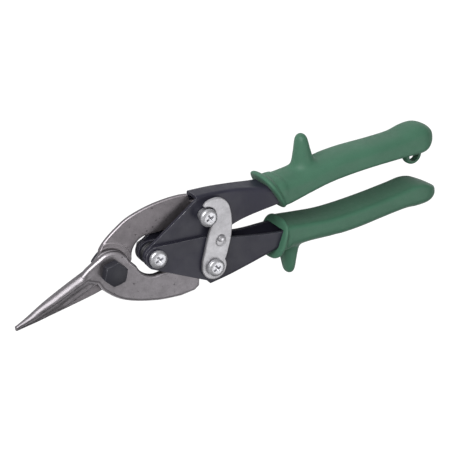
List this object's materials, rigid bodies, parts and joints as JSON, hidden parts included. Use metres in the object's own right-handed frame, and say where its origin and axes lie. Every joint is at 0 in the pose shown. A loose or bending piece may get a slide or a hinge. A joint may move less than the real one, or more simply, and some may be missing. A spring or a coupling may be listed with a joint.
{
  "type": "aviation snips",
  "caption": "Compound-action sheet-metal snips: forged jaws, stamped black lever handles with green moulded grips, hook latch and lanyard loop.",
  "frame": {"origin": "centre of the bounding box's base: the tool lies on its far side, on the jaw bolt's end and the rims of the two grip flanges", "axes": "+X from the jaws to the grips, +Y towards the upper handle, +Z along the pivots towards the fastener heads"},
  "size_m": [0.2516, 0.0776, 0.0263],
  "materials": {
    "blade_steel": "satin forged and ground tool steel with a fine grain",
    "black_paint": "satin black enamel on stamped sheet steel",
    "black_oxide": "black oxide, half matt",
    "zinc_plate": "bright zinc plate",
    "latch_steel": "satin plated steel sheet",
    "spring_steel": "drawn spring wire",
    "green_vinyl": "soft green vinyl, satin"
  },
  "bodies": {
    "lower_handle": {"lower_handle": "black_paint", "lower_grip": "green_vinyl", "handle_pivot_screw": "zinc_plate", "handle_pivot_nut": "zinc_plate", "spring_bush": "zinc_plate", "torsion_spring": "spring_steel", "lower_tang_screw": "zinc_plate", "lower_tang_nut": "zinc_plate", "lower_tang_spacer": "zinc_plate"},
    "upper_handle": {"upper_handle": "black_paint", "upper_grip": "green_vinyl", "upper_tang_screw": "zinc_plate", "upper_tang_nut": "zinc_plate", "upper_tang_spacer": "zinc_plate", "latch_collar": "zinc_plate"},
    "near_blade": {"near_blade": "blade_steel", "jaw_bolt": "black_oxide", "jaw_washer": "zinc_plate", "jaw_nut": "black_oxide"},
    "far_blade": {"far_blade": "blade_steel"},
    "latch": {"latch_plate": "latch_steel"}
  },
  "joints": [
    {"name": "handle_pivot", "type": "hinge", "parent": "lower_handle", "child": "upper_handle", "pos_m": [-0.04995, -0.0002, 0.0132], "axis": [0, 0, 1], "range_deg": [0, 40], "deforming": ["torsion_spring"]},
    {"name": "near_blade_pivot", "type": "hinge", "parent": "lower_handle", "child": "near_blade", "pos_m": [-0.02055, -0.0145, 0.0132], "axis": [0, 0, 1], "range_deg": [0, 9.56]},
    {"name": "far_blade_pivot", "type": "hinge", "parent": "upper_handle", "child": "far_blade", "pos_m": [-0.02055, 0.0141, 0.0132], "axis": [0, 0, 1], "range_deg": [-9.56, 0]},
    {"name": "latch_pivot", "type": "hinge", "parent": "lower_handle", "child": "latch", "pos_m": [-0.02055, -0.0145, 0.0132], "axis": [0, 0, 1], "range_deg": [-36.1, 0]}
  ],
  "couplings": [
    {"joint": "near_blade_pivot", "follows": "handle_pivot", "ratio": 0.2385},
    {"joint": "far_blade_pivot", "follows": "handle_pivot", "ratio": -0.2385},
    {"joint": "latch_pivot", "follows": "handle_pivot", "ratio": -0.9}
  ]
}
